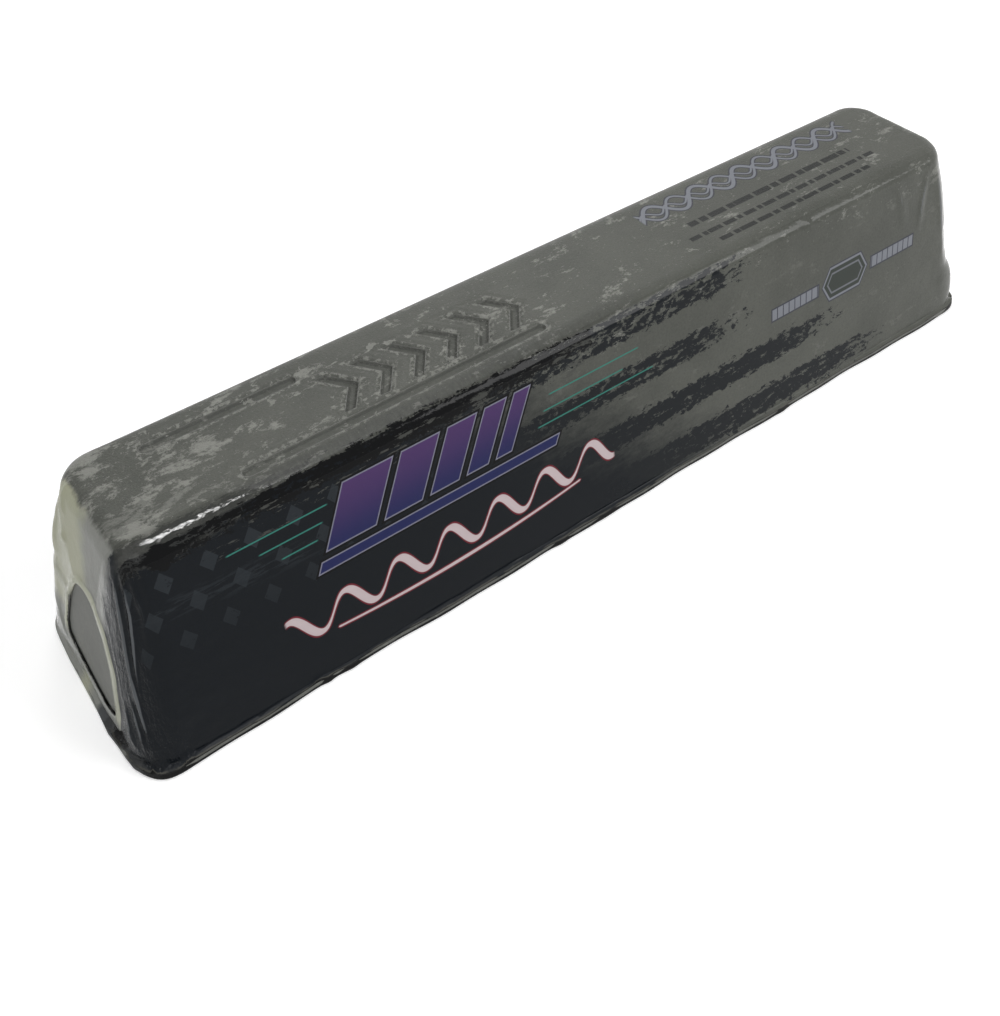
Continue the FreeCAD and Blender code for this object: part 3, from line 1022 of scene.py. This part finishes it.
def top_edge(colour, u, v):
    """Along the rounded top edge: painted shade in fine hairs, a painted grey reflection and a torn glossy black
    strip.
    """
    drawn = noise(drawn_out(u, v, 0.12), 1.0, detail=7.0, rough=0.7) - 0.5
    worn = noise(drawn_out(u, v, 0.35), 3.6, detail=6.0, rough=0.72) - 0.5
    holes = noise(drawn_out(u, v, 0.4), 1.3, detail=6.0, rough=0.78, warp=0.4) - 0.5
    hairs = noise(Shade.node("ShaderNodeCombineXYZ", {"X": u, "Y": v * 0.25}), 0.8, detail=6.0, rough=0.7) - 0.5
    flecks = rise(drawn * 0.5 + worn * 0.5 + holes * 0.35, 0.045, 0.058) * between(v + worn * 6.0, 42.5, 49.4, 0.3)
    # Painted shade on the rounded edge, streaked in fine hairs
    shaded = between(v + hairs * 2.0, PRINT_EDGE - 0.3, 55.6, 0.8) * rise(u, 30.0, -30.0)
    colour = mixed(shaded * (0.42 + hairs * 1.2), colour, (0.030, 0.031, 0.029))
    # A grey band of painted reflection under the near top edge
    reflection_inside = (v - 47.4).lowest(54.6 - v)
    band = torn_patch(reflection_inside, ((-88.0 - u) * 0.006).lowest(0.1) - 0.05, holes)
    colour = mixed(band * 0.75, colour, REFLECTED_GREY)
    inside = (v - 46.6).lowest(PRINT_EDGE - v + 0.3)
    whole = (0.11 - abs(u + 50.0) * 0.0021).highest(-0.01) - rise(u, -8.0, 0.0)
    strip = torn_patch(inside, whole - 0.06, holes + drawn * 0.4 + hairs * 0.4)
    colour = mixed(strip, colour, INK_BLACK)
    colour = mixed(flecks * between(u, -100.0, -6.0, 3.0) * 0.85, colour, FLECK_GREY)
    corner = 4.4 - abs(u + 109.0) * 0.9 - abs(v - 49.0) * 1.3 + worn * 9.0
    return mixed(rise(corner, 0.4, 0.6), colour, INK_BLACK)


# %% [markdown]
# On the ground sit the printed ornaments. They are plain shapes, so each is a few lines of maths
# on U and V: slanted blocks shaded from violet to blue, thin green lines, a pale waving ribbon
# with a red edge, silver blocks and dark rules.

# %% Ornaments on the front
VIOLET = (0.070, 0.034, 0.120)
BLUE = (0.015, 0.019, 0.085)
BEVEL = (0.20, 0.20, 0.26)
GREEN_LINE = (0.035, 0.20, 0.16)
RIBBON_PALE = (0.56, 0.47, 0.48)
RIBBON_EDGE = (0.15, 0.014, 0.024)
SILVER = (0.19, 0.20, 0.225)
SILVER_DARK = (0.040, 0.043, 0.056)
RULE_INK = (0.012, 0.013, 0.013)
BLOCK_SLANT = 0.55


def slanted_block(u, v, left, right, low, high):
    """How deep inside a slanted block each point lies, in millimetres; below zero outside."""
    lean = u - (v - low) * BLOCK_SLANT
    return (lean - left).lowest(right - lean).lowest(v - low).lowest(high - v)


def violet_blocks(colour, u, v):
    """Slanted blocks that get narrower over a long low one."""
    depth = slanted_block(u, v, -79.0, -67.0, 31.5, 45.0)
    for left, right in ((-65.0, -55.5), (-53.5, -46.0), (-44.0, -38.2), (-36.2, -31.8)):
        depth = depth.highest(slanted_block(u, v, left, right, 31.5, 45.0))
    depth = depth.highest(slanted_block(u, v, -82.0, -20.0, 27.0, 29.6))
    ink = mixed(rise(v, 30.0, 45.5), BLUE, VIOLET)
    colour = mixed(rise(depth, -0.75, -0.5), colour, INK_BLACK)
    colour = mixed(rise(depth, -0.16, -0.02), colour, BEVEL)
    return mixed(rise(depth, 0.14, 0.3), colour, ink)


def green_lines(colour, u, v):
    """Thin lines to the left and right of the blocks."""
    for place, start, end in (
        (42.0, -98.0, -76.0), (38.6, -92.0, -78.0), (35.2, -88.0, -80.0),
        (40.4, -20.0, 6.0), (37.0, -22.0, 1.0), (33.6, -24.0, 10.0),
    ):
        line = between(v, place - 0.16, place + 0.16, 0.07) * between(u, start, end, 0.4)
        colour = mixed(line, colour, GREEN_LINE)
    return colour


def wave_gap(u, v, middle, swing, length, half, phase):
    """How far outside a waving line each point lies, allowing for its slope."""
    turn = u * (2 * math.pi / length) + phase
    up = turn.maths("SINE") * swing
    slope = turn.maths("COSINE") * (swing * 2 * math.pi / length)
    return abs(v - middle - up) / (slope * slope + 1.0).maths("SQRT") - half


def ribbon(colour, u, v):
    """A pale wave with red edges, thin on its way up and thick on its way down, and a swash below."""
    climb = (u + 90.0) * 0.03 + 16.6
    swell = (u * (2 * math.pi / 13.4) + 0.4).maths("COSINE") * 0.42
    gap = wave_gap(u, v, climb, 3.3, 13.4, 0.62, 0.4) + swell
    swash = abs(v - climb + 6.4 - (u + 48.0) * (u + 48.0) * 0.0016) + abs(u + 48.0) * 0.006 - 0.42
    gap = gap.lowest(swash + rise(abs(u + 48.0), 33.0, 35.0) * 2.0)
    span = between(u, -92.0, -4.0, 0.4)
    colour = mixed(rise(gap, 0.42, 0.26) * span, colour, RIBBON_EDGE)
    return mixed(rise(gap, 0.1, -0.06) * span, colour, RIBBON_PALE)


# %% Small diamonds in the wash
DIAMOND_GREY = (0.022, 0.027, 0.032)


def diamonds(colour, u, v):
    """Faint diamonds in offset rows, worn in places, with a brushed streak below them."""
    row = ((v + 3.6) / 7.2).maths("FLOOR")
    across = (u + row * 4.6).maths("PINGPONG", 4.6)
    up = v.maths("PINGPONG", 3.6)
    shape = rise(across * 1.35 + up, 2.75, 2.55)
    flat = Shade.node("ShaderNodeCombineXYZ", {"X": u, "Y": v})
    worn = rise(noise(flat, 1.6, detail=6.0, rough=0.7), 0.35, 0.41)
    where = between(u, -121.0, -52.0, 1.0) * between(v, 25.0, 46.5, 0.6)
    colour = mixed(shape * where * worn * (0.35 + rise(v, 22.0, 44.0) * 0.5), colour, DIAMOND_GREY)
    brushed = noise(Shade.node("ShaderNodeCombineXYZ", {"X": u * 0.12, "Y": v}), 1.1, detail=7.0, rough=0.7)
    streak = between(v + (u + 90.0) * 0.10, 33.0, 37.5, 1.8) * between(u, -118.0, -80.0, 6.0)
    return mixed(rise(brushed, 0.5, 0.56) * streak * 0.6, colour, DIAMOND_GREY)


# %% Emblem at the far end of the front
def far_emblem(colour, u, v):
    """A dark six-sided shield with a silver edge, and a silver bar on each side."""
    middle_u, middle_v = 77.0, 29.5
    side, up = abs(u - middle_u), abs(v - middle_v)
    shield = (4.6 - up).lowest(8.6 - side - up * 0.6)
    bars = (1.5 - up).lowest((side - 10.2).lowest(27.0 - side))
    bars = bars.lowest(0.55 - abs(Shade.node("ShaderNodeMath", {0: side, 1: 2.1}, operation="PINGPONG") - 1.05) + 0.35)
    colour = mixed(rise(bars, -0.6, -0.2), colour, SILVER_DARK)
    colour = mixed(rise(bars, -0.1, 0.1), colour, SILVER)
    colour = mixed(rise(shield, -0.5, -0.2), colour, SILVER_DARK)
    colour = mixed(rise(shield, -0.1, 0.1), colour, SILVER)
    colour = mixed(rise(shield, 0.5, 0.7), colour, (0.035, 0.042, 0.036))
    inner = rise(shield, 1.6, 1.8) * rise(shield, 2.3, 2.1)
    return mixed(inner * 0.7, colour, SILVER)


# %% Ornaments on the narrow face
NARROW_LOW = columns_round[len(front_heights)]


def narrow_face_print(colour, u, v):
    """A silver braid over three dark dashed rules."""
    w = v - NARROW_LOW
    gap = wave_gap(u, w, 24.0, 3.1, 15.2, 0.48, 0.0)
    gap = gap.lowest(wave_gap(u, w, 24.0, 3.1, 15.2, 0.30, math.pi))
    gap = gap.lowest(wave_gap(u, w, 24.0, 1.2, 7.6, 0.22, 0.8))
    span = between(u, 29.0, 102.0, 0.3)
    colour = mixed(rise(gap, 0.5, 0.28) * span * 0.9, colour, SILVER_DARK)
    colour = mixed(rise(gap, 0.12, -0.06) * span, colour, SILVER)
    for place, tall, start, end, beat in (
        (15.0, 0.95, 37.0, 94.0, 1.55), (10.2, 0.75, 33.0, 98.0, 1.15), (6.2, 0.75, 39.0, 92.0, 1.35),
    ):
        dash = u.maths("PINGPONG", beat).highest(u.maths("PINGPONG", beat * 2.7) - beat * 1.1)
        rule = (tall - abs(w - place)).lowest(dash - 0.42)
        colour = mixed(rise(rule, -0.06, 0.1) * between(u, start, end, 0.2) * 0.92, colour, RULE_INK)
    return colour


# %% [markdown]
# Over the near end the sleeve gathers, and the clear film turns milky: many thin layers lie on
# each other there. It is palest towards the back, greys across the middle and is dark at the
# front, where the printed wash is drawn in. The thick edge of the window is paler still.

# %% The milky ends
MILK = (0.40, 0.405, 0.30)
MILK_GREY = (0.26, 0.265, 0.245)
FILM_GREY = (0.068, 0.071, 0.074)
# Dark of the drawn-in wash, also used for the painted shade beside the folds
DRAWN_AND_SHADED_DARK = (0.010, 0.013, 0.016)
# Grey of the painted highlight on fold crests
CREST_HIGHLIGHT_GREY = (0.17, 0.18, 0.19)
EDGE_CREAM = (0.44, 0.45, 0.35)


def milky_end(colour, place):
    """Milky film over the near end face, its dark gathered front corner, painted highlights and shade on its folds,
    and the windows' edges.
    """
    y, z = axis(place, "Y"), axis(place, "Z")
    end = read("near_end")
    cloud = noise(place, 5.0, detail=4.0) - 0.5
    drawn = noise(spread(place, (1.0, 1.0, 0.10)), 1.1, detail=4.0, rough=0.65) - 0.5
    over = rise(end + cloud * 2.0 + drawn * 0.8, -1.6, -0.6)
    tint = mixed(rise(y + cloud * 4.0, 3.5, -2.5), MILK, MILK_GREY)
    gather = y + (45.0 - z) * 0.17
    tint = mixed(rise(y + cloud * 2.0 + drawn * 3.0 + (z - 35.0) * 0.15, -8.4, -11.2), tint, FILM_GREY)
    tint = mixed(rise(z - y * 0.3 + cloud * 4.0, 14.0, 9.0) * rise(y, 2.0, 6.0), tint, MILK_GREY)
    tint = mixed(rise(gather + drawn * 3.5, -11.5, -12.5), tint, DRAWN_AND_SHADED_DARK)
    colour = mixed(over, colour, tint)
    far = rise(read("far_end") + cloud * 2.0 + drawn * 0.8, -1.6, -0.6) * rise(y + cloud * 5.0, -17.0, -11.0)
    colour = mixed(far, colour, mixed(rise(y + cloud * 5.0, 2.0, -9.0), MILK, MILK_GREY))
    low = rise(z + cloud * 3.0 + drawn * 3.0, 3.6, 2.8) * rise(y + drawn * 4.0, -8.0, -9.5)
    colour = mixed(low * over * 0.9, colour, (0.035, 0.037, 0.038))
    # Painted highlight on the fold crests and painted shade in the valleys beside them
    crest = rise(read("folds") + drawn * 0.12, 0.26, 0.42) * rise(y, -9.0, -12.0)
    valley_shade = between(read("folds") + drawn * 0.1, 0.07, 0.17, 0.03) * rise(y, -8.0, -11.0)
    colour = mixed(valley_shade * over * 0.75, colour, DRAWN_AND_SHADED_DARK)
    colour = mixed(crest * rise(end, -4.5, -2.5) * 0.55, colour, CREST_HIGHLIGHT_GREY)
    # Painted highlight on the fold crests at the far end
    far_crest_highlight = rise(read("folds") + drawn * 0.1, 0.2, 0.32) * rise(axis(place, "X"), 88.0, 95.0)
    colour = mixed(far_crest_highlight * 0.5, colour, CREST_HIGHLIGHT_GREY)
    blot = rise(abs(y + 14.5) + abs(z - 3.4) * 1.4 + drawn * 6.0, 4.4, 4.0)
    colour = mixed(blot * over, colour, INK_BLACK)
    rolled = rise(read("rolled"), 0.25, 0.6)
    colour = mixed(rolled * 0.9, colour, mixed(rise(z - y * 0.15, 10.0, 7.0), EDGE_CREAM, MILK_GREY))
    ragged = read("from_window") + (noise(place, 0.8, detail=4.0, rough=0.7) - 0.5) * 0.8
    shadow = rise(ragged, 0.30, 0.12) * rise(z - y * 0.4, 22.0, 16.0)
    return mixed(shadow * rise(end, -3.0, -1.5), colour, (0.006, 0.006, 0.005))


def back_weld(colour, v):
    """The double film of the weld, a little milky, with a dark line where its free edge ends."""
    colour = mixed(between(v, SEAM_LOW, SEAM_HIGH, 0.25) * 0.22, colour, MILK_GREY)
    return mixed(between(v, SEAM_HIGH - 0.25, SEAM_HIGH, 0.1) * 0.5, colour, COMPOUND_DARK)


UNDERSIDE_LOW = columns_round[len(columns_y) - len(under_places)] + 0.6
UNDERSIDE_HIGH = columns_round[-1] - 0.6


def foot_crease(colour, place, v):
    """Painted shade on the lip under the crease, and a fine pale line along its crest: whitened film with a painted
    highlight.
    """
    over = read("over_crease")
    y = axis(place, "Y")
    rough = noise(place, 1.6, detail=4.0) - 0.5
    pale_end = rise(read("near_end"), -3.0, -1.0) * rise(y, -12.0, -9.0)
    # Painted shade on the lip below the crease
    under = rise(over + rough * 0.1, 0.06, -0.04) * (1.0 - between(v, UNDERSIDE_LOW, UNDERSIDE_HIGH, 0.3))
    colour = mixed(under * (1.0 - pale_end * rise(over, -1.5, -0.9)) * 0.94, colour, (0.003, 0.003, 0.003))
    # The pale crease line: whitened film with a painted highlight
    line = between(over + rough * 0.12, 0.0, 0.12, 0.04) * rise(noise(place, 9.0), 0.36, 0.5)
    return mixed(line * (1.0 - pale_end) * 0.7, colour, (0.085, 0.083, 0.072))


# %% Put the film's material together
def film_normal(place, v, on_top):
    """Fine crinkles by the ends, drawn streaks on the near front corner and grit on top."""
    x, y = axis(place, "X"), axis(place, "Y")
    crinkle = noise(spread(place, (0.5, 1.0, 1.0)), 2.2, detail=4.0, rough=0.6)
    ends = rise(abs(x), 84.0, 120.0)
    drawn = noise(spread(place, (1.3, 1.3, 0.07)), 0.75, detail=3.0, rough=0.6)
    corner = rise(x, -116.0, -121.0) * rise(y, -7.0, -15.0)
    grit = noise(place, 0.5, detail=3.0, rough=0.7)
    edge = between(v, 50.0, 57.0, 1.5)
    lumps = noise(place, 1.5, detail=5.0, rough=0.7) * rise(read("relief"), 2.6, 1.0)
    height = crinkle * (ends * (1.0 - edge * 0.45) + 0.2) + drawn * corner * 3.0
    height = height + between(v, SEAM_LOW, SEAM_HIGH, 0.2) * 1.2
    height = height + noise(spread(place, (0.45, 1.0, 1.0)), 1.8) * edge * 1.6
    height = height + (grit * 1.5 + lumps * 4.0) * on_top
    return Shade.node("ShaderNodeBump", {"Height": height, "Distance": 0.00022, "Strength": 0.5})


def dress_film(material):
    output = new_tree(material)
    place = object_place()
    sleeve = Shade.node("ShaderNodeUVMap", uv_map="sleeve")
    u, v = axis(sleeve, "X"), axis(sleeve, "Y")
    colour = clear_film_colour(place)
    colour = relief_colour(colour, place)
    colour = mixed(brushed_ground(u, v), colour, INK)
    colour = top_edge(colour, u, v)
    colour = diamonds(colour, u, v)
    colour = green_lines(colour, u, v)
    colour = violet_blocks(colour, u, v)
    colour = ribbon(colour, u, v)
    colour = far_emblem(colour, u, v)
    colour = narrow_face_print(colour, u, v)
    colour = milky_end(colour, place)
    colour = back_weld(colour, v)
    colour = foot_crease(colour, place, v)
    near = rise(u, -84.0, -96.0)
    on_top = rise(v - near * 4.0, 51.6, 53.0) * rise(v, 83.5, 81.5)
    surface = Shade.node("ShaderNodeBsdfPrincipled", {
        "Base Color": colour,
        "Roughness": 0.075 + on_top * 0.32 + rise(read("over_crease"), 0.4, 0.2) * 0.45,
        "IOR": 1.34,
        "Specular IOR Level": 0.22,
        "Normal": film_normal(place, v, on_top),
    })
    Shade.tree.links.new(surface.socket, output.inputs["Surface"])


dress_film(film_material)
print("film material nodes", len(film_material.node_tree.nodes))

# %% [markdown]
# The studio is plain: a pale floor, an even pale surround, and soft lamps. One smaller lamp hangs
# almost straight above the near end. It gives the bright broken line along the near top edge.

# %% Floor
FLOOR_SIZE = 3.0
FLOOR_GLOW = 0.36
FLOOR_DROP = 0.05 * MM
floor_mesh = bpy.data.meshes.new("floor")
corner = FLOOR_SIZE / 2
floor_mesh.from_pydata(
    [(x * corner, y * corner, -FLOOR_DROP) for x, y in ((-1, -1), (1, -1), (1, 1), (-1, 1))],
    [], [(0, 1, 2, 3)],
)
floor = bpy.data.objects.new("floor", floor_mesh)
bpy.context.scene.collection.objects.link(floor)
floor_material = bpy.data.materials.new("pale_floor")
output = new_tree(floor_material)
floor_surface = Shade.node("ShaderNodeBsdfPrincipled", {
    "Base Color": (0.88, 0.88, 0.88, 1.0),
    "Roughness": 0.9,
    "Specular IOR Level": 0.1,
})


def seen_rays():
    """1 for rays that are looked along: from the camera, in a gloss or through glass."""
    seen = Shade.node("ShaderNodeLightPath", output="Is Camera Ray")
    seen = seen + Shade.node("ShaderNodeLightPath", output="Is Glossy Ray")
    return (seen + Shade.node("ShaderNodeLightPath", output="Is Transmission Ray")).lowest(1.0)


spot = object_place()
distance = (axis(spot, "X") * axis(spot, "X") + axis(spot, "Y") * axis(spot, "Y")).maths("SQRT")
glow = Shade.node("ShaderNodeEmission", {
    "Color": (1.0, 1.0, 1.0, 1.0),
    "Strength": seen_rays() * (FLOOR_GLOW + rise(distance, 320.0, 1100.0) * 0.6),
})
both = Shade.node("ShaderNodeAddShader", {0: floor_surface, 1: glow})
Shade.tree.links.new(both.socket, output.inputs["Surface"])
floor_material.cycles.emission_sampling = "NONE"
floor_mesh.materials.append(floor_material)

# %% Lamps and surround
SURROUND = 0.36
world = bpy.data.worlds.new("surround")
bpy.context.scene.world = world
world.use_nodes = True
world.cycles.sampling_method = "NONE"
Shade.tree = world.node_tree
background = world.node_tree.nodes["Background"]
background.inputs["Color"].default_value = (1.0, 1.0, 1.0, 1.0)
Shade.tree.links.new((seen_rays() * (1.0 - SURROUND) + SURROUND).socket, background.inputs["Strength"])
# Each lamp: its place and the point that it faces, in metres, its two sides and its watts
LAMPS = {
    "glint": ((-0.058, 0.02, 0.65), (-0.1, -0.01, 0.05), 0.2, 0.13, 4.6),
    "overhead": ((-0.034, 0.02, 0.65), (-0.1, -0.01, 0.05), 0.16, 0.036, 0.8),
    "left": ((-0.9, -0.5, 0.8), (0.0, 0.0, 0.0), 0.6, 0.6, 2.4),
    "right": ((0.6, -0.65, 0.6), (0.1, 0.0, 0.0), 0.5, 0.5, 4.9),
    "back": ((0.45, 0.8, 0.55), (0.0, 0.0, 0.0), 0.5, 0.3, 2.6),
}
for name, (place, target, width, depth, watts) in LAMPS.items():
    light = bpy.data.lights.new(name, "AREA")
    light.shape = "RECTANGLE"
    light.size, light.size_y = width, depth
    light.energy = watts
    lamp = bpy.data.objects.new(name, light)
    aim = Vector(target) - Vector(place)
    lamp.matrix_world = Matrix.Translation(place) @ aim.to_track_quat("-Z", "Y").to_matrix().to_4x4()
    lamp.visible_diffuse = name != "glint"
    bpy.context.scene.collection.objects.link(lamp)
bpy.context.scene.view_settings.view_transform = "Standard"
print("lamps", len(LAMPS))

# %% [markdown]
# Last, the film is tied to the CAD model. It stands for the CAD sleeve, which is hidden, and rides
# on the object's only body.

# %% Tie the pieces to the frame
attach(film, "root")
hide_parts("shrink_sleeve")
